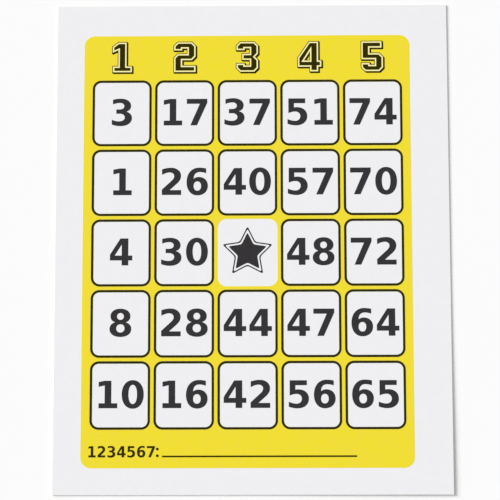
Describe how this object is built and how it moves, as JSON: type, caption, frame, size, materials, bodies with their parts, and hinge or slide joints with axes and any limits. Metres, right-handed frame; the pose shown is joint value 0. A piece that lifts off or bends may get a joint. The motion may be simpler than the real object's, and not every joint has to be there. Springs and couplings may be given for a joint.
{
  "type": "bingo card",
  "caption": "Flat rectangular game card of layered board with a printed panel of framed number cells, a free middle space and a line to write on.",
  "frame": {"origin": "centre of the back face, on the plane that the card lies on", "axes": "+X to the right of the printed face, +Y towards the head of the card, +Z out of the printed face"},
  "size_m": [0.12, 0.15, 0.0005],
  "materials": {
    "liner_back": "uncoated, matt, fine fibre",
    "core_board": "raw pulp, seen only at the cut edges",
    "liner_face": "bleached pulp, seen only at the cut edges",
    "coating_white": "smooth matt coating",
    "ink_yellow": "matt printed film",
    "ink_dark": "matt printed film",
    "ink_number": "matt printed film",
    "ink_cream": "matt printed film"
  },
  "bodies": {
    "root": {"back_liner": "liner_back", "core_ply": "core_board", "face_liner": "liner_face", "face_coating": "coating_white", "yellow_panel": "ink_yellow", "write_in_line": "ink_dark", "cell_frame_r1_c1": "ink_dark", "cell_frame_r1_c2": "ink_dark", "cell_frame_r1_c3": "ink_dark", "cell_frame_r1_c4": "ink_dark", "cell_frame_r1_c5": "ink_dark", "cell_frame_r2_c1": "ink_dark", "cell_frame_r2_c2": "ink_dark", "cell_frame_r2_c3": "ink_dark", "cell_frame_r2_c4": "ink_dark", "cell_frame_r2_c5": "ink_dark", "cell_frame_r3_c1": "ink_dark", "cell_frame_r3_c2": "ink_dark", "cell_frame_r3_c4": "ink_dark", "cell_frame_r3_c5": "ink_dark", "cell_frame_r4_c1": "ink_dark", "cell_frame_r4_c2": "ink_dark", "cell_frame_r4_c3": "ink_dark", "cell_frame_r4_c4": "ink_dark", "cell_frame_r4_c5": "ink_dark", "cell_frame_r5_c1": "ink_dark", "cell_frame_r5_c2": "ink_dark", "cell_frame_r5_c3": "ink_dark", "cell_frame_r5_c4": "ink_dark", "cell_frame_r5_c5": "ink_dark"}
  },
  "joints": []
}
